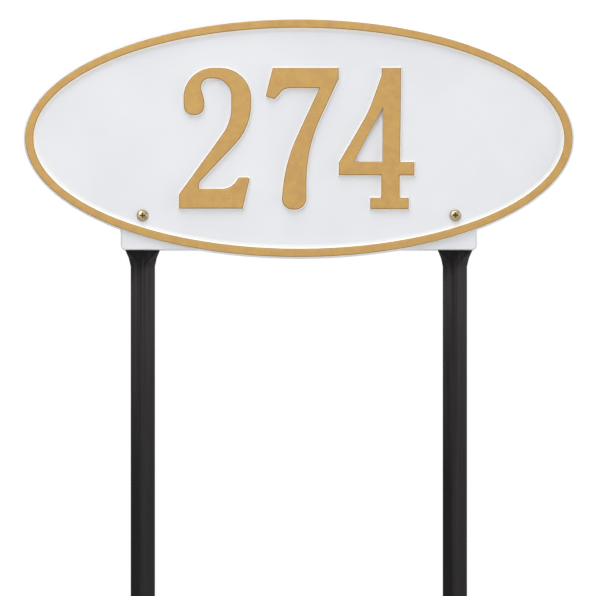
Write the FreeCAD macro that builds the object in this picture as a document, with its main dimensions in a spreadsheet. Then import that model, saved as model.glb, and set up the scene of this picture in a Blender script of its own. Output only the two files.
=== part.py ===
import FreeCAD, Part
import math
import os
import Sketcher

# House number plaque on two ground stakes, in millimetres.
# X runs to the reader's right, the front faces -Y and Z points up.
# The origin is on the ground line, midway between the stakes, in the plane of the casting's back.

# Driving dimensions: name, value, what it measures
drivingSizes = (
    ("ovalWidth", 397.0, "oval from side to side at its back"),
    ("ovalHeight", 173.8, "oval from bottom to top at its back"),
    ("castDepth", 9.5, "back of the casting to the top of rim and digits"),
    ("outerLean", 1.4, "how far the outer wall draws in towards the front"),
    ("rimWidth", 5.7, "flat top of the rim"),
    ("relief", 3.0, "rim and digits above the field"),
    ("rimLean", 1.2, "how far the rim's inner wall draws in down to the field"),
    ("coveRise", 0.5, "shallow cove around the field, up against that wall"),
    ("coveRun", 2.0, "the same cove, in over the field"),
    ("fieldThickness", 4.0, "metal between the field and the recess behind it"),
    ("rimWall", 7.0, "metal around the recess at the back"),
    ("ledgeWidth", 257.0, "straight ledge under the oval, side to side at its back"),
    ("ledgeRise", 5.9, "ledge's lower edge above the oval's lowest point"),
    ("ledgeLap", 21.6, "how far the ledge runs up into the oval, from the shoulders"),
    ("ledgeSetback", 0.5, "ledge front behind the field"),
    ("ledgeCorner", 4.0, "rounding of the ledge's lower corners"),
    ("ledgeDraft", 10.0, "slope of the ledge's edges in degrees"),
    ("shoulderRound", 3.0, "casting fillet where the ledge's ends run into the oval"),
    ("shoulderRun", 14.0, "straight tail of that fillet, which dies into the oval, side to side"),
    ("shoulderRise", 7.0, "the same tail, upwards"),
    ("digitHeight", 101.0, "height of the digits"),
    ("digitDraft", 20.0, "slope of the digits' side walls in degrees"),
    ("numberShift", -1.5, "middle of the number from the middle of the oval"),
    ("edgeBevel", 0.4, "soft edge around the tops of rim and digits"),
    ("stakeInset", 15.8, "middle of a stake in from the ledge's end"),
    ("stakeLength", 457.0, "stake from head to point"),
    ("stakeThickness", 2.0, "steel strip that the stakes are pressed from"),
    ("groundDepth", 150.0, "how far the points stand in the ground"),
    ("headWidth", 24.8, "flat head of the stake, side to side"),
    ("headAbove", 13.0, "flat head above the screw"),
    ("headCorner", 5.0, "rounding of the head's upper corners"),
    ("slotClearance", 0.4, "gap on each side of the head in its slot"),
    ("foldStart", 0.6, "folds in from the head's sides, where they leave the head"),
    ("flareMiddle", 5.3, "from the flat head down to the flare's middle section"),
    ("flareMiddleWidth", 20.3, "that section, side to side"),
    ("flareMiddleFold", 13.0, "that section's flat middle, between its folds"),
    ("flareLength", 11.5, "from the flat head down to the full V section"),
    ("ridgeRadius", 3.0, "outside of the fold along the leg"),
    ("tipLength", 36.0, "slanted cuts of the point"),
    ("screwInset", 7.7, "screw above the edge of the field under it"),
    ("shankWidth", 4.1, "thread of the screws, across"),
    ("shankLength", 12.7, "screw under its head"),
    ("screwClearance", 0.4, "gap around the screws in the holes that they pass"),
    ("threadClearance", 0.04, "gap between screw and nut threads"),
    ("screwHeadWidth", 8.3, "bevelled pan head, across"),
    ("screwHeadHeight", 2.7, "bevelled pan head, from its seat to its top"),
    ("screwHeadTop", 5.1, "flat top of the head, across"),
    ("screwHeadSide", 1.2, "straight side of the head under its bevel"),
    ("recessSpan", 4.5, "cross recess at the top of the head, across"),
    ("recessFloor", 2.6, "cross recess at its floor, across"),
    ("recessWidth", 1.1, "arm of the cross recess"),
    ("recessDepth", 1.7, "depth of the cross recess"),
    ("washerWidth", 7.6, "split washer, across"),
    ("washerThickness", 1.1, "split washer, through"),
    ("washerSplit", 0.7, "gap in the split washer"),
    ("nutAcross", 8.7, "hexagon nut across its flats"),
    ("nutThickness", 3.2, "hexagon nut, through"),
    ("nutBevel", 0.4, "depth of the bevel on the nut's corners"),
)

# Digit outlines on a grid with this many steps to the digit's height: across, up, corner radius if rounded
gridHeight = 100
twoOutline = (
    (0, 0), (0, 10, 3), (37.2, 61.5, 33), (37.2, 92.9, 13), (13.2, 92.9, 6.5), (17.5, 76.7, 8),
    (17.5, 66.7, 6.5), (3.4, 66.7, 6.5), (2.8, 100, 21), (50.9, 100, 22), (50.9, 57.9, 42),
    (14, 18.8, 3), (13.6, 13.7), (37.3, 13.7, 13), (42.4, 21.8, 1.2), (50, 21.8, 1.3),
    (44.9, 0),
)
sevenOutline = (
    (5, 100), (51.6, 100), (51.6, 92.4, 2.5), (28.6, 43.2, 110), (28.6, -0.7, 8),
    (10.9, -0.7, 7.6), (14.1, 33.4, 118), (38.4, 85.9), (13, 85.9, 8), (6.3, 78.1, 1.5),
    (0, 80, 1.5),
)
fourOutline = (
    (30.5, 100), (43.9, 100), (43.1, 32.8), (53.3, 32.8), (53.3, 23.7), (42.8, 23.7),
    (42.8, 7.3), (49.2, 7.3), (49.2, -0.4), (22.3, -0.4), (22.3, 7.3), (30.2, 7.3),
    (30.2, 23.8), (0, 23.8), (0, 32.6, 3),
    (21.2, 69, 80), (30.5, 95, 5),
)
fourCounter = ((30.8, 70.8), (30.6, 33.4), (10.5, 33.4))

# The number: each digit's name, its outlines and how far on the next digit starts
number = (
    ("Two", (twoOutline,), 61.7),
    ("Seven", (sevenOutline,), 52.3),
    ("Four", (fourOutline, fourCounter), 53.3),
)


class Size:
    # A size as its number now and as the expression that keeps it bound to the sheet
    def __init__(self, value, text):
        self.value = value
        self.text = text

    def __add__(self, other):
        other = asSize(other)
        return Size(self.value + other.value, "(%s + %s)" % (self.text, other.text))

    def __sub__(self, other):
        other = asSize(other)
        return Size(self.value - other.value, "(%s - %s)" % (self.text, other.text))

    def __mul__(self, other):
        other = asSize(other)
        return Size(self.value * other.value, "(%s * %s)" % (self.text, other.text))

    def __truediv__(self, other):
        other = asSize(other)
        return Size(self.value / other.value, "(%s / %s)" % (self.text, other.text))

    def __neg__(self):
        return self * -1


def asSize(value):
    if isinstance(value, Size):
        return value
    return Size(float(value), "(%.6g)" % value)


def squareRoot(size):
    return Size(math.sqrt(size.value), "sqrt(%s)" % size.text)


def ellipseDrop(width, height, across):
    # How far an ellipse passes under its centre, at this distance to the side
    share = across * 2 / width
    return height / 2 * squareRoot(asSize(1) - share * share)


class Sizes:
    # The sheet's sizes by name, and the places that several pieces share
    def __init__(self, sheet):
        for row in drivingSizes:
            name = row[0]
            setattr(self, name, Size(sheet.get(name), "Sizes." + name))

        # Depths in front of the casting's back
        self.field = self.castDepth - self.relief
        self.recess = self.field - self.fieldThickness
        self.ledgeFace = self.field - self.ledgeSetback

        # Distances down from the oval's centre
        self.stakeAside = self.ledgeWidth / 2 - self.stakeInset
        self.fieldInset = self.outerLean + self.rimWidth + self.rimLean
        fieldWidth = self.ovalWidth - self.fieldInset * 2
        fieldHeight = self.ovalHeight - self.fieldInset * 2
        self.ledgeDrop = self.ovalHeight / 2 - self.ledgeRise
        self.shoulderDrop = ellipseDrop(self.ovalWidth, self.ovalHeight, self.ledgeWidth / 2)
        self.screwDrop = ellipseDrop(fieldWidth, fieldHeight, self.stakeAside) - self.screwInset

        # Heights above the ground line, from the stakes up
        self.screwLift = self.stakeLength - self.groundDepth - self.headAbove
        self.ovalLift = self.screwLift + self.screwDrop
        self.ledgeLift = self.ovalLift - self.ledgeDrop


def makeSheet(doc):
    sheet = doc.addObject("Spreadsheet::Sheet", "Sizes")
    for row, (name, value, note) in enumerate(drivingSizes, start=1):
        sheet.set("A%d" % row, name)
        sheet.set("B%d" % row, str(value))
        sheet.set("C%d" % row, note)
        sheet.setAlias("B%d" % row, name)
    doc.recompute()
    return sheet


def bind(item, path, size):
    item.setExpression(path, asSize(size).text)


def newBody(doc, name):
    body = doc.addObject("PartDesign::Body", name)
    body.Label = name
    return body


def place(body, across, back, up):
    bind(body, ".Placement.Base.x", across)
    bind(body, ".Placement.Base.y", back)
    bind(body, ".Placement.Base.z", up)


def newSketch(body, name, plane, offset=0):
    # The plane is one of the body's own origin planes, and the offset runs along its normal
    sketch = body.newObject("Sketcher::SketchObject", name)
    origin = [item for item in body.Origin.OriginFeatures if item.Role == plane]
    sketch.AttachmentSupport = [(origin[0], "")]
    sketch.MapMode = "FlatFace"
    bind(sketch, ".AttachmentOffset.Base.z", offset)
    return sketch


def constrain(sketch, kind, *values):
    # The last value of a driving constraint is a size, and stays bound to the sheet
    if isinstance(values[-1], Size):
        numbers = values[:-1] + (values[-1].value,)
        index = sketch.addConstraint(Sketcher.Constraint(kind, *numbers))
        bind(sketch, "Constraints[%d]" % index, values[-1])
    else:
        sketch.addConstraint(Sketcher.Constraint(kind, *values))


def fixPoint(sketch, item, end, across, up):
    # Holds one end of a sketch item at its distances from the sketch's origin
    constrain(sketch, "DistanceX", -1, 1, item, end, asSize(across))
    constrain(sketch, "DistanceY", -1, 1, item, end, asSize(up))


def addCircle(sketch, across, up, width):
    centre = FreeCAD.Vector(asSize(across).value, asSize(up).value, 0)
    normal = FreeCAD.Vector(0, 0, 1)
    item = sketch.addGeometry(Part.Circle(centre, normal, width.value / 2), False)
    fixPoint(sketch, item, 3, across, up)
    constrain(sketch, "Diameter", item, width)


def addEllipse(sketch, width, height):
    # An upright ellipse about the sketch's origin
    shape = Part.Ellipse(FreeCAD.Vector(0, 0, 0), width.value / 2, height.value / 2)
    item = sketch.addGeometry(shape, False)
    sketch.exposeInternalGeometry(item)
    fixPoint(sketch, item, 3, 0, 0)
    constrain(sketch, "Horizontal", item + 1)
    constrain(sketch, "DistanceX", item + 1, 1, item + 1, 2, width)
    constrain(sketch, "DistanceY", item + 2, 1, item + 2, 2, height)


def addOutline(sketch, corners):
    # A closed outline of straight runs: each corner is across, up and its radius, or no radius if sharp
    count = len(corners)
    points = [FreeCAD.Vector(asSize(corner[0]).value, asSize(corner[1]).value, 0) for corner in corners]
    ways = [(points[(i + 1) % count] - points[i]).normalize() for i in range(count)]
    turns = []
    reaches = []
    for i, corner in enumerate(corners):
        before = ways[i - 1]
        turn = math.atan2(before.cross(ways[i]).z, before.dot(ways[i]))
        radius = asSize(corner[2]).value if len(corner) > 2 else 0
        turns.append(turn)
        reaches.append(radius * abs(math.tan(turn / 2)))

    lines = []
    for i in range(count):
        start = points[i] + ways[i] * reaches[i]
        finish = points[(i + 1) % count] - ways[i] * reaches[(i + 1) % count]
        lines.append(sketch.addGeometry(Part.LineSegment(start, finish), False))

    for i, corner in enumerate(corners):
        before = lines[i - 1]
        after = lines[i]
        if len(corner) < 3:
            constrain(sketch, "Coincident", before, 2, after, 1)
            fixPoint(sketch, after, 1, corner[0], corner[1])
            continue
        radius = asSize(corner[2])
        toLeft = turns[i] > 0
        aside = FreeCAD.Vector(-ways[i].y, ways[i].x, 0) * (radius.value if toLeft else -radius.value)
        centre = points[i] + ways[i] * reaches[i] + aside
        begin = points[i] - ways[i - 1] * reaches[i] - centre
        end = points[i] + ways[i] * reaches[i] - centre
        if not toLeft:
            begin, end = end, begin
        circle = Part.Circle(centre, FreeCAD.Vector(0, 0, 1), radius.value)
        first = math.atan2(begin.y, begin.x)
        last = math.atan2(end.y, end.x)
        arc = sketch.addGeometry(Part.ArcOfCircle(circle, first, last), False)
        mark = sketch.addGeometry(Part.Point(points[i]), True)
        constrain(sketch, "Tangent", before, 2, arc, 1 if toLeft else 2)
        constrain(sketch, "Tangent", arc, 2 if toLeft else 1, after, 1)
        constrain(sketch, "Radius", arc, radius)
        constrain(sketch, "PointOnObject", mark, 1, before)
        constrain(sketch, "PointOnObject", mark, 1, after)
        fixPoint(sketch, mark, 1, corner[0], corner[1])


def outlineSketch(body, name, plane, corners, offset=0):
    sketch = newSketch(body, name, plane, offset)
    addOutline(sketch, corners)
    return sketch


def pad(body, name, sketch, length, backwards=False, taper=None):
    feature = body.newObject("PartDesign::Pad", name)
    feature.Profile = sketch
    feature.Reversed = backwards
    bind(feature, "Length", length)
    if taper is not None:
        bind(feature, "TaperAngle", taper)
    body.Document.recompute()
    return feature


def pocket(body, name, sketch, length=None, bothWays=False):
    # Cuts along the sketch's normal or half of it each way, or through everything where no length is given
    before = body.Shape.Volume
    feature = body.newObject("PartDesign::Pocket", name)
    feature.Profile = sketch
    feature.Reversed = True
    if length is None:
        feature.Type = "ThroughAll"
        feature.Midplane = True
    else:
        feature.Midplane = bothWays
        bind(feature, "Length", length)
    body.Document.recompute()
    if body.Shape.Volume >= before:
        raise RuntimeError(name + " removed nothing")
    return feature


def loft(body, name, sections, cut=False):
    kind = "PartDesign::SubtractiveLoft" if cut else "PartDesign::AdditiveLoft"
    feature = body.newObject(kind, name)
    feature.Profile = sections[0]
    feature.Sections = sections[1:]
    feature.Ruled = True
    body.Document.recompute()
    return feature


def revolve(body, name, sketch, kind="PartDesign::Revolution"):
    feature = body.newObject(kind, name)
    feature.Profile = sketch
    feature.ReferenceAxis = (sketch, ["V_Axis"])
    feature.Angle = 360
    body.Document.recompute()
    return feature


def bevelTops(body, name, bevel, depth, longest):
    # Bevels the edges that lie in the plane at this depth in front of the casting's back, and no longer ones
    base = body.Tip
    names = []
    for index, edge in enumerate(base.Shape.Edges, start=1):
        box = edge.BoundBox
        atDepth = abs(box.YMin + depth.value) < 0.001 and abs(box.YMax + depth.value) < 0.001
        if atDepth and edge.Length < longest.value:
            names.append("Edge%d" % index)
    feature = body.newObject("PartDesign::Chamfer", name)
    feature.Base = (base, names)
    bind(feature, "Size", bevel)
    body.Document.recompute()
    return feature


def makePlaque(doc, size):
    body = newBody(doc, "plaque")
    place(body, 0, 0, size.ovalLift)

    def ovalSketch(name, inset, offset):
        sketch = newSketch(body, name, "XZ_Plane", offset)
        addEllipse(sketch, size.ovalWidth - inset * 2, size.ovalHeight - inset * 2)
        return sketch

    # The oval, as a drafted slab with a bevelled front edge
    brow = size.castDepth - size.edgeBevel
    ovalBack = ovalSketch("OvalBack", asSize(0), 0)
    ovalBrow = ovalSketch("OvalBrow", size.outerLean, brow)
    ovalFront = ovalSketch("OvalFront", size.outerLean + size.edgeBevel, size.castDepth)
    loft(body, "Oval", [ovalBack, ovalBrow, ovalFront])

    # The straight ledge that carries the stakes, which runs up into the oval. Its ends meet the oval
    # at the shoulders, and from there a line a little steeper than the oval's edge dies into it.
    half = size.ledgeWidth / 2
    shoulder = -size.shoulderDrop
    tail = half + size.shoulderRun
    tailEnd = shoulder + size.shoulderRise
    ledgeCorners = (
        (-half, -size.ledgeDrop, size.ledgeCorner),
        (half, -size.ledgeDrop, size.ledgeCorner),
        (half, shoulder, size.shoulderRound),
        (tail, tailEnd),
        (half, shoulder + size.ledgeLap),
        (-half, shoulder + size.ledgeLap),
        (-tail, tailEnd),
        (-half, shoulder, size.shoulderRound),
    )
    ledgeSketch = outlineSketch(body, "LedgeOutline", "XZ_Plane", ledgeCorners)
    pad(body, "Ledge", ledgeSketch, size.ledgeFace, taper=-size.ledgeDraft)

    # The field in front, inside the rim, with a cove that runs up against the wall all round
    rimInset = size.outerLean + size.rimWidth
    fieldTop = ovalSketch("FieldTop", rimInset - size.edgeBevel, size.castDepth)
    fieldBrow = ovalSketch("FieldBrow", rimInset, brow)
    fieldCove = ovalSketch("FieldCove", size.fieldInset, size.field + size.coveRise)
    fieldFloor = ovalSketch("FieldFloor", size.fieldInset + size.coveRun, size.field)
    loft(body, "Field", [fieldTop, fieldBrow, fieldCove, fieldFloor], cut=True)

    # The recess behind
    recessTop = ovalSketch("RecessTop", size.rimWall, 0)
    recessFloor = ovalSketch("RecessFloor", size.rimWall + size.rimLean, size.recess)
    loft(body, "BackRecess", [recessTop, recessFloor], cut=True)

    # The digits, from their tops down to the field
    cursor = -sum(advance for name, outlines, advance in number) / 2
    step = size.digitHeight / gridHeight
    for name, outlines, advance in number:
        sketch = newSketch(body, name + "Outline", "XZ_Plane", size.castDepth)
        for outline in outlines:
            corners = []
            for across, up, *rounding in outline:
                middleAcross = step * (cursor + across) + size.numberShift
                middleUp = step * (up - gridHeight / 2)
                corners.append([middleAcross, middleUp] + [step * radius for radius in rounding])
            addOutline(sketch, corners)
        pad(body, "Digit" + name, sketch, size.relief, backwards=True, taper=size.digitDraft)
        cursor += advance
    bevelTops(body, "DigitTops", size.edgeBevel, size.castDepth, size.ovalHeight)

    # Slots for the stake heads, and their screw holes
    slotHalf = size.headWidth / 2 + size.slotClearance
    slotTop = size.headAbove - size.screwDrop + size.slotClearance
    slotFoot = -size.ledgeDrop - size.ledgeCorner
    for side, way in (("Left", -1), ("Right", 1)):
        middle = size.stakeAside * way
        slotCorners = (
            (middle - slotHalf, slotFoot),
            (middle + slotHalf, slotFoot),
            (middle + slotHalf, slotTop),
            (middle - slotHalf, slotTop),
        )
        slotSketch = outlineSketch(body, "Slot%sOutline" % side, "XZ_Plane", slotCorners)
        pocket(body, "Slot" + side, slotSketch, size.recess)
        holeSketch = newSketch(body, "Hole%sOutline" % side, "XZ_Plane")
        addCircle(holeSketch, middle, -size.screwDrop, size.shankWidth + size.screwClearance * 2)
        pocket(body, "Hole" + side, holeSketch, size.castDepth)

    return body


def makeStake(doc, size, side, way):
    body = newBody(doc, "stake_" + side)
    place(body, size.stakeAside * way, -size.recess, size.ledgeLift)
    thickness = size.stakeThickness
    hole = size.screwLift - size.ledgeLift
    top = hole + size.headAbove
    tip = top - size.stakeLength

    # Flat head, against the floor of its slot and from the ledge's lower edge up
    half = size.headWidth / 2
    headCorners = (
        (-half, 0),
        (half, 0),
        (half, top, size.headCorner),
        (-half, top, size.headCorner),
    )
    pad(body, "Head", outlineSketch(body, "HeadOutline", "XZ_Plane", headCorners), thickness, backwards=True)

    # V section of the leg: the strip folded to a right angle, with a rounded ridge to the front
    slant = thickness / math.sqrt(2)
    nose = size.ridgeRadius * (1 - math.sqrt(2))
    flange = half / math.sqrt(2)
    vCorners = (
        (-flange, flange + nose),
        (asSize(0), nose, size.ridgeRadius),
        (flange, flange + nose),
        (flange - slant, flange + nose + slant),
        (asSize(0), nose + slant * 2, size.ridgeRadius - thickness),
        (slant - flange, flange + nose + slant),
    )

    # Half way down the flare: a flat middle between two folds, and flanges that have come part of the way round
    fold = size.flareMiddleFold / 2
    reach = half - fold
    run = size.flareMiddleWidth / 2 - fold
    rise = squareRoot(reach * reach - run * run)
    innerFold = fold - thickness * rise / (reach + run)
    endAcross = fold + run - thickness * rise / reach
    endBack = rise + thickness * run / reach
    middleCorners = (
        (-fold - run, rise),
        (-fold, 0),
        (fold, 0),
        (fold + run, rise),
        (endAcross, endBack),
        (innerFold, thickness),
        (-innerFold, thickness),
        (-endAcross, endBack),
    )
    # The strip where it leaves the head, still flat, with the folds starting near its sides
    start = half - size.foldStart
    flatCorners = (
        (-half, 0),
        (-start, 0),
        (start, 0),
        (half, 0),
        (half, thickness),
        (start, thickness),
        (-start, thickness),
        (-half, thickness),
    )
    flatSketch = outlineSketch(body, "FlatSection", "XY_Plane", flatCorners)
    middleSketch = outlineSketch(body, "FlareSection", "XY_Plane", middleCorners, -size.flareMiddle)
    vSketch = outlineSketch(body, "LegSection", "XY_Plane", vCorners, -size.flareLength)
    loft(body, "Flare", [flatSketch, middleSketch, vSketch])
    pad(body, "Leg", vSketch, -tip - size.flareLength, backwards=True)

    # The point, cut on both slants, to twice the leg's half width to leave nothing beside them
    wide = flange * 2
    pointCorners = (
        (0, tip),
        (wide, tip + size.tipLength * 2),
        (wide, tip - size.tipLength),
        (-wide, tip - size.tipLength),
        (-wide, tip + size.tipLength * 2),
    )
    pocket(body, "Point", outlineSketch(body, "PointOutline", "XZ_Plane", pointCorners))

    # Screw hole in the head
    holeSketch = newSketch(body, "HoleOutline", "XZ_Plane")
    addCircle(holeSketch, 0, hole, size.shankWidth + size.screwClearance * 2)
    pocket(body, "Hole", holeSketch)
    return body


def placeFastener(body, size, way, back):
    # On the screw's axis, this far behind the casting's back
    place(body, size.stakeAside * way, back, size.screwLift)


def makeScrew(doc, size, side, way):
    body = newBody(doc, "screw_" + side)
    placeFastener(body, size, way, -size.field)

    # Half profile, turned about the screw's axis, which is the sketch's upright one
    head = size.screwHeadWidth / 2
    shank = size.shankWidth / 2
    top = -size.screwHeadHeight
    profile = (
        (0, top),
        (size.screwHeadTop / 2, top),
        (head, -size.screwHeadSide),
        (head, 0),
        (shank, 0),
        (shank, size.shankLength),
        (0, size.shankLength),
    )
    revolve(body, "Turned", outlineSketch(body, "Profile", "XY_Plane", profile))

    # Cross recess: one slot with sloping ends, and the same slot a quarter turn on
    floor = top + size.recessDepth
    slotCorners = (
        (-size.recessSpan / 2, top),
        (-size.recessFloor / 2, floor),
        (size.recessFloor / 2, floor),
        (size.recessSpan / 2, top),
    )
    slotSketch = outlineSketch(body, "RecessSlotOutline", "XY_Plane", slotCorners)
    slot = pocket(body, "RecessSlot", slotSketch, size.recessWidth, bothWays=True)
    cross = body.newObject("PartDesign::PolarPattern", "CrossRecess")
    cross.Originals = [slot]
    cross.Axis = (slotSketch, ["V_Axis"])
    cross.Angle = 90
    cross.Occurrences = 2
    body.Tip = cross
    doc.recompute()
    return body


def makeWasher(doc, size, side, way):
    body = newBody(doc, "lock_washer_" + side)
    placeFastener(body, size, way, size.stakeThickness - size.recess)
    sketch = newSketch(body, "RingOutline", "XZ_Plane")
    addCircle(sketch, 0, 0, size.washerWidth)
    addCircle(sketch, 0, 0, size.shankWidth + size.screwClearance)
    pad(body, "Ring", sketch, size.washerThickness, backwards=True)

    # The split, aslant to the ring's axis
    half = size.washerSplit / 2
    lean = size.washerThickness / 2
    splitCorners = (
        (-half - lean, 0),
        (half - lean, 0),
        (half + lean, size.washerThickness),
        (lean - half, size.washerThickness),
    )
    splitSketch = outlineSketch(body, "SplitOutline", "XY_Plane", splitCorners)
    pocket(body, "Split", splitSketch, size.washerWidth)
    return body


def makeNut(doc, size, side, way):
    body = newBody(doc, "nut_" + side)
    placeFastener(body, size, way, size.stakeThickness + size.washerThickness - size.recess)
    corner = size.nutAcross / math.sqrt(3)
    hexagon = []
    for step in range(6):
        angle = math.radians(60 * step)
        hexagon.append((corner * math.cos(angle), corner * math.sin(angle)))
    hexagonSketch = outlineSketch(body, "HexagonOutline", "XZ_Plane", hexagon)
    pad(body, "Hexagon", hexagonSketch, size.nutThickness, backwards=True)

    # Bevel on the corners of the outer face, turned about the nut's axis
    flat = size.nutAcross / 2
    outside = corner * 2 - flat
    bevelCorners = (
        (flat, size.nutThickness),
        (outside, size.nutThickness),
        (outside, size.nutThickness - size.nutBevel * 2),
    )
    bevelSketch = outlineSketch(body, "BevelOutline", "XY_Plane", bevelCorners)
    revolve(body, "Bevel", bevelSketch, kind="PartDesign::Groove")
    boreSketch = newSketch(body, "BoreOutline", "XZ_Plane")
    addCircle(boreSketch, 0, 0, size.shankWidth + size.threadClearance * 2)
    pocket(body, "Bore", boreSketch)
    return body


def checkModel(doc, bodies):
    for item in doc.Objects:
        if "Invalid" in item.State or "Error" in item.State:
            raise RuntimeError("%s is %s" % (item.Name, ", ".join(item.State)))
    for body in bodies:
        shape = body.Shape
        if shape.isNull() or not shape.isValid() or len(shape.Solids) != 1:
            raise RuntimeError(body.Label + " is not one valid solid")


def writeParts(bodies):
    os.makedirs("parts", exist_ok=True)
    for body in bodies:
        body.Shape.exportStep("parts/%s.step" % body.Label)
        print("%-18s %9.1f mm3" % (body.Label, body.Shape.Volume))


doc = FreeCAD.newDocument("HouseNumberPlaque")
size = Sizes(makeSheet(doc))
bodies = [makePlaque(doc, size)]
for side, way in (("left", -1), ("right", 1)):
    for makePiece in (makeStake, makeScrew, makeWasher, makeNut):
        bodies.append(makePiece(doc, size, side, way))
doc.recompute()
checkModel(doc, bodies)
writeParts(bodies)
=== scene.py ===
import math

import bmesh
import bpy
import numpy as np
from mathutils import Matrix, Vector


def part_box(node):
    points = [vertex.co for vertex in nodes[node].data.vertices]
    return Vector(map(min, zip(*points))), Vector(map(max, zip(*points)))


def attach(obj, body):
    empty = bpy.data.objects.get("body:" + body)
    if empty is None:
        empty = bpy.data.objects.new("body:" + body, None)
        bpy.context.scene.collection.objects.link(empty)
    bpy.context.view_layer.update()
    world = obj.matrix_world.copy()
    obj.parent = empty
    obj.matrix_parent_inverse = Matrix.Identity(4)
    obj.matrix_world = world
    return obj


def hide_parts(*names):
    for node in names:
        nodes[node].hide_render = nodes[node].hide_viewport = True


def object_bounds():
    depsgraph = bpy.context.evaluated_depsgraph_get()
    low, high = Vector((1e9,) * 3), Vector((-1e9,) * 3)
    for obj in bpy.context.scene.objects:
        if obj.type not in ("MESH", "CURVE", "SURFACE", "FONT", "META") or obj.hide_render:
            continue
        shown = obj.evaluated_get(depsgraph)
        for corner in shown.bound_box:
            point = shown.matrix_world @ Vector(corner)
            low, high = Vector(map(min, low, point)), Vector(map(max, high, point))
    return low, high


# House number plaque on two ground stakes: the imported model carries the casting, the stakes, the washers
# and the nuts, and this script adds turned screws, the finishes, the light and the camera.

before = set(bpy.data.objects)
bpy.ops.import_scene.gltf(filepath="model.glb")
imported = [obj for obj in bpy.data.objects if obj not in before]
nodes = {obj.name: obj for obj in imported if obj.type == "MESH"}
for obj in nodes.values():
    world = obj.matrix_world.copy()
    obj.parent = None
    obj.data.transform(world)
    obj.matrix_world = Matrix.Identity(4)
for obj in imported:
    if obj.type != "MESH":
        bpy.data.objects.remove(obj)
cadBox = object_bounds()
mm = 0.001
print("frame loaded:", ", ".join(sorted(nodes)))


# Colours and nodes

def linearColour(hexColour):
    # sRGB to linear: divided by 12.92 near black, and otherwise a power of 2.4 of the lifted value
    values = np.array([int(hexColour[i:i + 2], 16) for i in (1, 3, 5)]) / 255
    linear = np.where(values <= 0.04045, values / 12.92, ((values + 0.055) / 1.055) ** 2.4)
    return tuple(float(v) for v in linear) + (1.0,)


def addNode(tree, kind, settings=None):
    # A setting is an input by its name or number, and otherwise a property of the node's own. Where its value
    # is another node's output, the two are linked
    node = tree.nodes.new(kind)
    for name, value in (settings or {}).items():
        if isinstance(value, bpy.types.NodeSocket):
            tree.links.new(value, node.inputs[name])
        elif isinstance(name, int) or name in node.inputs:
            node.inputs[name].default_value = value
        else:
            setattr(node, name, value)
    return node


def newMaterial(name):
    # An empty material with its node tree, and where on the object a point of the surface is
    material = bpy.data.materials.new(name)
    material.use_nodes = True
    tree = material.node_tree
    tree.nodes.clear()
    place = addNode(tree, "ShaderNodeTexCoord").outputs["Object"]
    return material, tree, place


def calculate(tree, operation, *values):
    # One step of arithmetic on numbers and other nodes' outputs
    node = addNode(tree, "ShaderNodeMath", {"operation": operation, **dict(enumerate(values))})
    return node.outputs[0]


def remap(tree, value, start, end, startResult=0.0, endResult=1.0, shape="LINEAR"):
    # Runs from one result to the other as the value runs from start to end, and stays level outside them
    node = addNode(tree, "ShaderNodeMapRange",
                   {"interpolation_type": shape, "Value": value, "From Min": start, "From Max": end,
                    "To Min": startResult, "To Max": endResult})
    return node.outputs["Result"]


def noise(tree, place, size, detail, roughness=0.5):
    # A random pattern with features of this size in mm
    node = addNode(tree, "ShaderNodeTexNoise",
                   {"Vector": place, "Scale": 1000 / size, "Detail": detail, "Roughness": roughness})
    return node.outputs["Fac"]


def drawnOut(tree, place, share):
    # The place with its height scaled by this share, which draws a pattern out upwards
    node = addNode(tree, "ShaderNodeMapping", {"Vector": place, "Scale": (1.0, 1.0, share)})
    return node.outputs["Vector"]


def colourRamp(tree, factor, *stops):
    ramp = addNode(tree, "ShaderNodeValToRGB", {"Fac": factor})
    for element, (position, colour) in zip(ramp.color_ramp.elements, stops):
        element.position = position
        element.color = linearColour(colour)
    return ramp.outputs["Color"]


def mixColours(tree, factor, first, second):
    # Each colour is another node's output or written as hex
    first, second = (linearColour(c) if isinstance(c, str) else c for c in (first, second))
    return addNode(tree, "ShaderNodeMix", {"data_type": "RGBA", 0: factor, 6: first, 7: second}).outputs[2]


def roundEdges(tree, radius):
    # The surface's direction, with its edges and corners shaded as if rounded by this radius
    return addNode(tree, "ShaderNodeBevel", {"samples": 6, "Radius": radius}).outputs["Normal"]


def addBump(tree, height, strength, distance, normal=None):
    # A relief in the shading alone, on top of the direction given. Distance is its depth from height 0 to 1
    settings = {"Height": height, "Strength": strength, "Distance": distance}
    if normal:
        settings["Normal"] = normal
    return addNode(tree, "ShaderNodeBump", settings).outputs["Normal"]


def addSurface(tree, settings):
    # The shader that all the other nodes lead to
    shader = addNode(tree, "ShaderNodeBsdfPrincipled", settings)
    addNode(tree, "ShaderNodeOutputMaterial", {"Surface": shader.outputs["BSDF"]})


# Finishes

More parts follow.
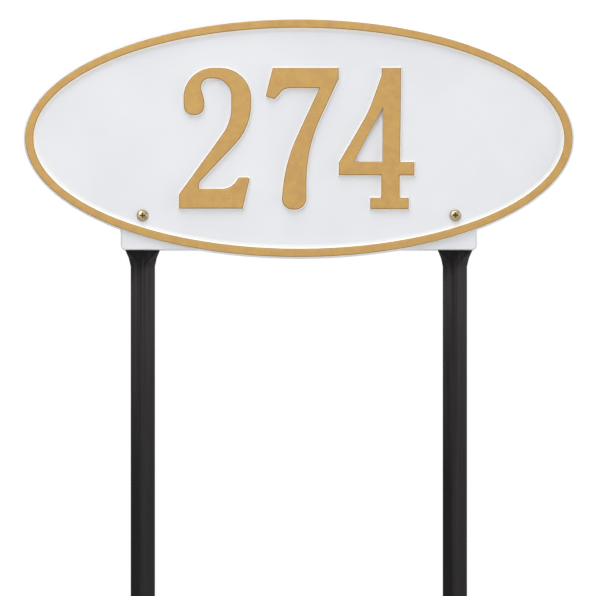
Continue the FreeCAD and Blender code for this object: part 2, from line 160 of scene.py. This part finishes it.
enamel = {
    "white": "#EAEBEF",             # cool white powder enamel
    "whiteShade": "#E5E7EB",
    "wallHighlight": "#FDF3E3",             # painted highlight: cream white on the walls under the gold, for their lit look
    "gold": "#C6A05C",              # metallic gold enamel, rolled on to the raised tops
    "goldShade": "#BD955A",
    "goldEdgeShade": "#6E5730",          # painted shade: darker, duller gold on the edges, for the line of shade along them
    "goldMetal": 0.45,              # how far it looks like metal
    # In front of the casting's back, where each one starts and where it is full
    "wallHighlightDepth": (6.7 * mm, 7.5 * mm),
    "paintDepth": (8.88 * mm, 8.92 * mm),     # the gold, from just under the bevel
    "edgeShadeDepth": (9.26 * mm, 9.46 * mm),      # the gold's own tone, in place of the painted shade on its edge
    "paintWander": 0.10 * mm,       # how far the roller's edge strays
    "roughness": (0.46, 0.60),      # in the hollows of the grain and on its tops
    "softEdge": 0.7 * mm,           # paint rounds the casting's edges and fills its corners
    "grit": 0.9,                    # sand grain of the casting under the enamel, mm
    "gritDepth": 0.07 * mm,
    "mottle": 6.0,                  # patches where the roller left more gold, mm
    "orangePeel": 3.2,              # ripple of the enamel, mm
    "peelDepth": 0.10 * mm,
    "cloud": 55.0,                  # slow change of tone over the field, mm
    "pit": (-50.8 * mm, -9.5 * mm, 305.6 * mm),   # burst bubble on the foot of the 2
    "pitRadius": 1.1 * mm,
    "pitDepth": 0.6 * mm,
}


def makeSandCastEnamel(look):
    # Sand-cast aluminium under sprayed enamel: a fine grain softened by the paint, a satin sheen, and a
    # second, slightly metallic colour on the tops only, with an edge that isn't ruler-straight
    material, tree, place = newMaterial("sandCastEnamel")
    grit = noise(tree, place, look["grit"], 3.0, 0.62)
    peel = noise(tree, place, look["orangePeel"], 1.0)
    cloud = noise(tree, place, look["cloud"], 2.0)
    mottle = noise(tree, place, look["mottle"], 4.0, 0.6)

    # How far the surface stands in front of the casting's back, with the roller's straying in it
    depth = addNode(tree, "ShaderNodeSeparateXYZ", {"Vector": place}).outputs["Y"]
    stray = calculate(tree, "MULTIPLY_ADD", peel, look["paintWander"], -look["paintWander"] / 2)
    height = calculate(tree, "SUBTRACT", stray, depth)
    paintedWallHighlight = remap(tree, height, *look["wallHighlightDepth"])
    painted = remap(tree, height, *look["paintDepth"])
    pastEdgeShade = remap(tree, height, *look["edgeShadeDepth"])

    field = colourRamp(tree, cloud, (0.35, look["whiteShade"]), (0.62, look["white"]))
    # Painted highlight: the walls under the gold turn cream white towards their tops
    white = mixColours(tree, paintedWallHighlight, field, look["wallHighlight"])
    tone = calculate(tree, "MULTIPLY_ADD", grit, 0.5, mottle)
    top = colourRamp(tree, tone, (0.60, look["goldShade"]), (0.90, look["gold"]))
    # Painted shade: a darker, duller gold round the edges of the gold, standing in for the dark line of shade
    # there
    gold = mixColours(tree, pastEdgeShade, look["goldEdgeShade"], top)
    colour = mixColours(tree, painted, white, gold)

    away = addNode(tree, "ShaderNodeVectorMath", {"operation": "DISTANCE", 0: place, 1: look["pit"]})
    pit = remap(tree, away.outputs["Value"], 0.0, look["pitRadius"], shape="SMOOTHSTEP")
    rippled = addBump(tree, peel, 0.35, look["peelDepth"], roundEdges(tree, look["softEdge"]))
    pitted = addBump(tree, pit, 1.0, look["pitDepth"], rippled)
    addSurface(tree, {"IOR": 1.5, "Base Color": colour,
                      "Metallic": calculate(tree, "MULTIPLY", painted, look["goldMetal"]),
                      "Roughness": remap(tree, grit, 0.0, 1.0, *look["roughness"]),
                      "Normal": addBump(tree, grit, 0.45, look["gritDepth"], pitted)})
    return material


legLow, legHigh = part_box("stake_right")
powderCoat = {
    "legMiddle": (legLow.x + legHigh.x) / 2,
    "black": "#0D0B0C",
    # The grey that duller patches and painted light lift the black towards
    "dustAndPaintedLight": "#332F30",
    "roughness": (0.36, 0.56),
    "softEdge": 0.6 * mm,
    "pebble": 1.1,                  # orange peel of the coat, mm
    "pebbleDepth": 0.08 * mm,
    "patch": 18.0,                  # duller patches, across the strip, mm
    "patchRun": 0.25,               # share that draws them out to 4 times as high as wide
    "reflectionStreak": 2.6,                  # streaks of painted reflection, across the strip, mm
    "streakRun": 0.03,              # the same for the streaks, about 33 times as high as wide
    "streakWeight": (0.3, 1.6),     # how much they show low down and high up
    # The leg from left to right of its fold line: left flange up to the first, ridge from the second to the
    # third, right flange from the fourth
    "zones": (-2.7 * mm, -0.7 * mm, 1.0 * mm, 2.6 * mm),
    "lowSideLight": (-0.32, 0.27, 0.0),  # painted shade on the left flange, painted highlight on the ridge, none on the right flange, low down
    "upperLight": 0.57,               # painted light on all of them high up
    "castingShadowTone": -0.4,          # and the painted shadow under the casting
    "lightStart": 50 * mm,                # painted light: the coat only starts to grow lighter above this height
    "lightFull": 235 * mm,              # and is at its lightest from here on
    "castingShadow": 251 * mm,          # the painted shadow under the casting starts here
    "unshadedBrassAndShadowFull": 266 * mm,              # and is full from here
    "creaseAside": 1.6 * mm,        # painted shade along a fine crease on each side of the fold line
    "creaseReach": 0.9 * mm,        # it fades out over this, to both sides
    "creaseShade": 0.45,
    "flare": (259.5 * mm, 270.3 * mm),    # the creases part from here up to here
    "flareAside": 11.0 * mm,        # and are this far from the fold line at the top
}


def paintedLightOnLeg(tree, look, where):
    # How much painted light a stake gets, before patches and streaks, and how high up the leg that is, from 0
    # to 1.
    # The wrap lets across be the distance to the right of the fold line on the left leg too
    wrapped = calculate(tree, "WRAP", where["X"], look["legMiddle"] * 2, 0.0)
    across = calculate(tree, "SUBTRACT", wrapped, look["legMiddle"])
    # Painted light: the coat grows lighter up the leg, between these two heights
    climb = remap(tree, where["Z"], look["lightStart"], look["lightFull"])
    height = calculate(tree, "POWER", climb, 2.0)

    # Painted light low down: shade on the left flange, a highlight on the ridge, none on the right flange
    leftEnd, ridgeStart, ridgeEnd, rightStart = look["zones"]
    leftLight, ridgeLight, rightLight = look["lowSideLight"]
    toRidge = remap(tree, across, leftEnd, ridgeStart, leftLight, ridgeLight)
    pastRidge = remap(tree, across, ridgeEnd, rightStart, 0.0, rightLight - ridgeLight)
    low = calculate(tree, "ADD", toRidge, pastRidge)
    rising = addNode(tree, "ShaderNodeMix", {"data_type": "FLOAT", 0: height, 2: low, 3: look["upperLight"]})

    # Painted shadow under the casting, which reaches lower down on the left than on the right
    slant = calculate(tree, "SUBTRACT", where["Z"], across)
    castingShadow = remap(tree, slant, look["castingShadow"], look["unshadedBrassAndShadowFull"], look["upperLight"], look["castingShadowTone"])
    paintedTone = calculate(tree, "MINIMUM", rising.outputs[0], castingShadow)

    # Painted shade along the creases, which run up to the corners of the flare and fade down the leg
    aside = calculate(tree, "ABSOLUTE", across)
    line = remap(tree, where["Z"], *look["flare"], look["creaseAside"], look["flareAside"])
    beside = calculate(tree, "ABSOLUTE", calculate(tree, "SUBTRACT", aside, line))
    crease = remap(tree, beside, 0.0, look["creaseReach"], -look["creaseShade"], 0.0)
    return calculate(tree, "MULTIPLY_ADD", crease, height, paintedTone), height


def makeBlackPowderCoat(look):
    # Hot-rolled steel strip under black powder coat: nearly black, greyer in duller patches and with painted
    # light and shade along the leg, a soft broken sheen of painted reflection along the folds, and a fine
    # orange peel
    material, tree, place = newMaterial("blackPowderCoat")
    pebble = noise(tree, place, look["pebble"], 2.0)
    patch = noise(tree, drawnOut(tree, place, look["patchRun"]), look["patch"], 4.0, 0.6)
    reflectionStreak = noise(tree, drawnOut(tree, place, look["streakRun"]), look["reflectionStreak"], 2.0)
    where = addNode(tree, "ShaderNodeSeparateXYZ", {"Vector": place}).outputs
    dustAndPaintedLight, height = paintedLightOnLeg(tree, look, where)

    # Streaks of painted reflection show more high up than low down, and lighten or darken about their mean of
    # 0.5
    weight = remap(tree, height, 0.0, 1.0, *look["streakWeight"])
    streaked = calculate(tree, "MULTIPLY_ADD", calculate(tree, "SUBTRACT", reflectionStreak, 0.5), weight, dustAndPaintedLight)
    greyness = calculate(tree, "MULTIPLY_ADD", patch, 0.6, streaked)
    pebbled = addBump(tree, pebble, 0.4, look["pebbleDepth"], roundEdges(tree, look["softEdge"]))
    addSurface(tree, {"IOR": 1.5, "Specular IOR Level": 0.12,
                      "Base Color": colourRamp(tree, greyness, (0.0, look["black"]), (1.0, look["dustAndPaintedLight"])),
                      "Roughness": remap(tree, patch, 0.0, 1.0, *look["roughness"]),
                      "Normal": pebbled})
    return material


brass = {
    "bright": "#C3B592",
    "tarnish": "#7A6A48",
    "paintedShade": "#6A5330",             # painted shade: dark brown in the cross and round the foot
    "shadeMetal": 0.3,              # how far the painted shade looks like metal
    "roughness": (0.38, 0.24),      # where it is tarnished and where it is bright
    "scratch": 0.12,                # fine scratches, mm
    "scratchDepth": 0.02 * mm,
    "stain": 2.5,                   # tarnish patches, mm
}


def makeTurnedBrass(look):
    # Solid brass screw, lightly tarnished: a warm mirror blurred by fine scratches, and painted shade with
    # little metal
    material, tree, place = newMaterial("turnedBrass")
    stain = noise(tree, place, look["stain"], 4.0, 0.6)
    scratch = noise(tree, place, look["scratch"], 2.0)
    unshadedBrassAndShadowFull = colourRamp(tree, stain, (0.35, look["tarnish"]), (0.58, look["bright"]))
    # Painted shade: dark brown with little metal in the cross and round the foot of the dome
    paintedShade = addNode(tree, "ShaderNodeAttribute", {"attribute_name": "paintedShade"}).outputs["Fac"]
    addSurface(tree, {"Base Color": mixColours(tree, paintedShade, unshadedBrassAndShadowFull, look["paintedShade"]),
                      "Metallic": remap(tree, paintedShade, 0.0, 1.0, 1.0, look["shadeMetal"]),
                      "Roughness": remap(tree, stain, 0.0, 1.0, *look["roughness"]),
                      "Normal": addBump(tree, scratch, 0.25, look["scratchDepth"])})
    return material


zinc = {
    "bright": "#B9BEC4",
    "dull": "#8F959C",
    "roughness": (0.45, 0.30),      # where it is dull and where it is bright
    "crystal": 1.4,                 # cloudy patches of the plating, mm
}


def makeZincPlate(look):
    # Zinc-plated steel: bluish grey, cloudy, with a blurred reflection
    material, tree, place = newMaterial("zincPlate")
    crystal = noise(tree, place, look["crystal"], 5.0, 0.65)
    addSurface(tree, {"Base Color": colourRamp(tree, crystal, (0.35, look["dull"]), (0.65, look["bright"])),
                      "Metallic": 1.0,
                      "Roughness": remap(tree, crystal, 0.0, 1.0, *look["roughness"])})
    return material


turnedBrass = makeTurnedBrass(brass)
finishes = (
    (makeSandCastEnamel(enamel), ("plaque",)),
    (makeBlackPowderCoat(powderCoat), ("stake_left", "stake_right")),
    (turnedBrass, ("screw_left", "screw_right")),
    (makeZincPlate(zinc), ("lock_washer_left", "lock_washer_right", "nut_left", "nut_right")),
)
for material, names in finishes:
    for name in names:
        for slot in nodes[name].material_slots:
            slot.material = material
print("finishes on", sum(len(names) for material, names in finishes), "nodes")


# Screws

screw = {
    "headHeight": 2.7 * mm,
    "crown": 2.6,              # higher is flatter on top and rounder at the side
    "side": 0.35 * mm,         # straight side under the dome
    "unshadedShare": 0.80,        # the dome is free of painted shade out to this share of its radius
    "footShade": 0.75,         # how much painted shade its foot gets
    "crossSpan": 4.2 * mm,     # the cross at the top of the head, and at its floor
    "crossFloor": 2.4 * mm,
    "crossWidth": 1.1 * mm,
    "crossDepth": 1.7 * mm,
    "wallShare": 0.006,        # the cross's side walls, as a share of the head's radius
    "headLines": 57,           # lines of the head's grid each way, apart from those of the cross
    "shankRadius": 2.05 * mm,
    "shankRoot": 0.3 * mm,     # how far the shank starts inside the head
    "shankRings": 150,
    "shankSides": 48,
    "pitch": 0.79 * mm,
    "threadDepth": 0.42 * mm,
    "plainNeck": 1.4 * mm,     # shank under the head before the thread starts
    "leadOut": 1.0 * mm,       # the thread fades over this at the end
    "weld": 0.002 * mm,        # points nearer to each other than this become one
    "sharpFrom": 40,           # edges stay sharp from this angle on, degrees
}


def gridQuads(rows, columns, closed):
    # Quads between the neighbours of a point grid, with the last column joined to the first if closed
    lower = np.arange((rows - 1) * columns).reshape(rows - 1, columns)
    quads = np.stack([lower, np.roll(lower, -1, 1), np.roll(lower, -1, 1) + columns, lower + columns], -1)
    return (quads if closed else quads[:, :-1]).reshape(-1, 4)


def headSurface(look, radius):
    # A square grid squeezed into a disc, so that its lines run along the cross. The height over the seat is
    # side + (height - side) * (1 - distance to the power of crown) to the power of 1/2, less the depth of
    # two slots with sloping ends. The last array is how much painted shade each point gets: in the cross, and
    # at the foot of the dome where it meets the enamel
    halfWidth = look["crossWidth"] / 2 / radius
    wall = look["wallShare"]
    even = np.sin(np.linspace(-1, 1, look["headLines"]) * math.pi / 2)
    walls = np.array([-halfWidth - wall, -halfWidth, halfWidth, halfWidth + wall])
    steps = np.unique(np.concatenate([even[np.abs(np.abs(even) - halfWidth) > 2 * wall], walls]))
    u, v = np.meshgrid(steps, steps, indexing="ij")
    across = radius * u * np.sqrt(1 - v * v / 2)
    up = radius * v * np.sqrt(1 - u * u / 2)
    distance = np.clip(np.hypot(across, up) / radius, 0, 1)
    domed = look["side"] + (look["headHeight"] - look["side"]) * np.sqrt(1 - distance ** look["crown"])

    def slotDepth(along, aside):
        ends = (look["crossSpan"] / 2 - np.abs(along)) / (look["crossSpan"] - look["crossFloor"]) * 2
        sides = (halfWidth + wall - np.abs(aside)) / wall
        return look["crossDepth"] * np.clip(ends, 0, 1) * np.clip(sides, 0, 1)

    sunk = np.maximum(slotDepth(across, v), slotDepth(up, u))
    foot = np.clip((distance - look["unshadedShare"]) / (1 - look["unshadedShare"]), 0, 1)
    return across, up, domed - sunk, np.maximum(sunk / look["crossDepth"], foot * look["footShade"])


def shankSurface(look, length):
    # A tube as rings of points, closed to its axis at both ends. Its radius is the shank's less the thread's
    # depth times (1 - triangle wave of (distance / pitch - turn)), plain at the neck and all root at the end
    around, along = look["shankSides"], look["shankRings"]
    turn, distance = np.meshgrid(np.arange(around) / around, np.linspace(0, 1, along) * length)
    wave = 1 - np.abs(2 * np.mod(distance / look["pitch"] - turn, 1) - 1)
    start = np.clip((distance - look["plainNeck"]) / look["pitch"], 0, 1)
    taper = np.clip((length - distance) / look["leadOut"], 0, 1)
    tube = look["shankRadius"] - look["threadDepth"] * start * (1 - wave * taper)
    angle = 2 * math.pi * turn
    rings = np.stack([tube * np.cos(angle), distance, tube * np.sin(angle)], -1)
    axis = rings[[0, -1]] * (0, 1, 0)
    return np.concatenate([axis[:1] - (0, look["shankRoot"], 0), rings, axis[1:]])


def meshPiece(look, name, points, quads, paintedShade):
    # A closed surface as a mesh object: doubled points at poles and seams are welded, normals face outwards
    mesh = bpy.data.meshes.new(name)
    mesh.from_pydata(points.tolist(), [], quads.tolist())
    mesh.attributes.new("paintedShade", "FLOAT", "POINT").data.foreach_set("value", paintedShade)
    shell = bmesh.new()
    shell.from_mesh(mesh)
    bmesh.ops.remove_doubles(shell, verts=shell.verts, dist=look["weld"])
    bmesh.ops.recalc_face_normals(shell, faces=shell.faces)
    shell.to_mesh(mesh)
    shell.free()
    mesh.shade_smooth()
    mesh.set_sharp_from_angle(angle=math.radians(look["sharpFrom"]))
    piece = bpy.data.objects.new(name, mesh)
    bpy.context.scene.collection.objects.link(piece)
    return piece


def screwMesh(look, name, low, high):
    # The head's grid, its rim carried down to the seat and in to the axis, and the threaded shank
    centre = (low + high) / 2
    seat = low.y + look["headHeight"]
    across, up, height, shadeAmount = headSurface(look, (high.x - low.x) / 2)
    lines = len(height)
    head = np.stack([across, -height, up], -1).reshape(-1, 3)
    index = np.arange(lines * lines).reshape(lines, lines)
    rim = np.concatenate([index[0, :-1], index[:-1, -1], index[-1, :0:-1], index[:0:-1, 0]])
    below = np.concatenate([head[rim] * (1, 0, 1), head[rim] * (0, 0, 0)])
    seatRow = len(head) + np.arange(len(rim))
    quads = [gridQuads(lines, lines, False)]
    for upper, lower in ((rim, seatRow), (seatRow, seatRow + len(rim))):
        quads.append(np.stack([upper, lower, np.roll(lower, -1), np.roll(upper, -1)], -1))

    shank = shankSurface(look, high.y - seat)
    quads.append(gridQuads(*shank.shape[:2], True) + len(head) + len(below))
    points = np.concatenate([head, below, shank.reshape(-1, 3)]) + (centre.x, seat, centre.z)
    # Painted shade in the cross and round the dome's foot, carried as a point attribute
    paintedShade = np.zeros(len(points))
    paintedShade[:len(head)] = shadeAmount.ravel()
    return meshPiece(look, name, points, np.concatenate(quads), paintedShade)


for side in ("left", "right"):
    node = "screw_" + side
    low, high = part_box(node)
    turned = screwMesh(screw, "turned_" + node, low, high)
    turned.data.materials.append(turnedBrass)
    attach(turned, "root")
    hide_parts(node)
print("screws turned")


# Studio

studio = {
    "cameraAside": 0.1 * mm,           # to the right of the middle
    "cameraDistance": 5000 * mm,       # from the casting's front
    "cameraBelowTop": 202 * mm,        # under the highest point of the rim
    "lens": 417.9,                     # mm
    "ambient": 0.36,                   # the world's glow on the object, next to 1.0 for the camera
    "floorColour": "#E8E8E8",
    "floorGap": 2 * mm,                # under the stakes' points
    "floorReach": 1600 * mm,
    "floorPlain": 450 * mm,            # shadows stay whole this far from the middle
    "floorWhite": 1280 * mm,           # and have faded out here
    "floorLift": 0.18,                 # what the camera sees is this much lighter than lit
}
lamps = (
    # name, place, aimed at, width, height, power in watts
    ("keyLamp", (-0.45, -1.05, 2.45), (0.0, 0.0, 0.33), 2.2, 2.2, 44.5),
    ("leftLamp", (-0.95, -1.5, 1.0), (-0.1, 0.0, 0.38), 0.8, 0.8, 5.8),
    ("rightLamp", (2.2, -0.85, 0.35), (0.0, 0.0, 0.20), 1.0, 1.2, 12.5),
    ("backLamp", (0.7, 2.0, 1.5), (0.0, 0.0, 0.30), 1.2, 1.2, 12.0),
)


def makeWorld(look):
    # Plain white for the camera and in reflections, and a level glow on the object
    world = bpy.data.worlds.new("paleStudio")
    world.use_nodes = True
    tree = world.node_tree
    tree.nodes.clear()
    rays = addNode(tree, "ShaderNodeLightPath").outputs
    seen = calculate(tree, "MAXIMUM", rays["Is Camera Ray"], rays["Is Glossy Ray"])
    seenThrough = calculate(tree, "MAXIMUM", seen, rays["Is Transmission Ray"])
    sky = addNode(tree, "ShaderNodeBackground",
                  {"Color": (1.0, 1.0, 1.0, 1.0),
                   "Strength": remap(tree, seenThrough, 0.0, 1.0, look["ambient"], 1.0)})
    addNode(tree, "ShaderNodeOutputWorld", {"Surface": sky.outputs["Background"]})
    return world


def makePaleFloor(look):
    # Pale matt floor that holds the shadow near the object and turns to plain white further out, for the
    # camera only: its light on the object stays that of a pale floor
    material, tree, place = newMaterial("paleFloor")
    away = addNode(tree, "ShaderNodeVectorMath", {"operation": "LENGTH", 0: place}).outputs["Value"]
    camera = addNode(tree, "ShaderNodeLightPath").outputs["Is Camera Ray"]
    fade = remap(tree, away, look["floorPlain"], look["floorWhite"], shape="SMOOTHSTEP")
    pale = addNode(tree, "ShaderNodeBsdfDiffuse", {"Color": linearColour(look["floorColour"])})
    lift = calculate(tree, "MULTIPLY", camera, look["floorLift"])
    glow = addNode(tree, "ShaderNodeEmission", {"Strength": lift})
    near = addNode(tree, "ShaderNodeAddShader", {0: pale.outputs["BSDF"], 1: glow.outputs["Emission"]})
    white = addNode(tree, "ShaderNodeEmission")
    both = addNode(tree, "ShaderNodeMixShader", {0: calculate(tree, "MULTIPLY", fade, camera),
                                                 1: near.outputs["Shader"], 2: white.outputs["Emission"]})
    addNode(tree, "ShaderNodeOutputMaterial", {"Surface": both.outputs["Shader"]})
    return material


def makeFloor(look, height):
    mesh = bpy.data.meshes.new("floor")
    reach = look["floorReach"]
    mesh.from_pydata([(-reach, -reach, 0), (reach, -reach, 0), (reach, reach, 0), (-reach, reach, 0)],
                     [], [(0, 1, 2, 3)])
    mesh.materials.append(makePaleFloor(look))
    floor = bpy.data.objects.new("floor", mesh)
    floor.location.z = height
    bpy.context.scene.collection.objects.link(floor)
    return floor


def makeLamp(name, place, target, width, height, power):
    light = bpy.data.lights.new(name, "AREA")
    light.shape = "RECTANGLE"
    light.size = width
    light.size_y = height
    light.energy = power
    lamp = bpy.data.objects.new(name, light)
    lamp.location = place
    lamp.rotation_euler = (Vector(target) - Vector(place)).to_track_quat("-Z", "Y").to_euler()
    bpy.context.scene.collection.objects.link(lamp)


def makeCamera(look, front, top):
    # Level and straight from the front, from far off, as in the photo
    data = bpy.data.cameras.new("camera")
    data.lens = look["lens"]
    data.sensor_width = 36.0
    data.sensor_fit = "HORIZONTAL"
    data.clip_end = 50.0
    camera = bpy.data.objects.new("camera", data)
    camera.location = (look["cameraAside"], front - look["cameraDistance"], top - look["cameraBelowTop"])
    camera.rotation_euler = (math.radians(90), 0, 0)
    bpy.context.scene.collection.objects.link(camera)
    return camera


bpy.context.scene.world = makeWorld(studio)
floor = makeFloor(studio, cadBox[0].z - studio["floorGap"])
for lamp in lamps:
    makeLamp(*lamp)
bpy.context.scene.camera = makeCamera(studio, cadBox[0].y, cadBox[1].z)
bpy.context.scene.view_settings.view_transform = "Standard"
print("studio ready")
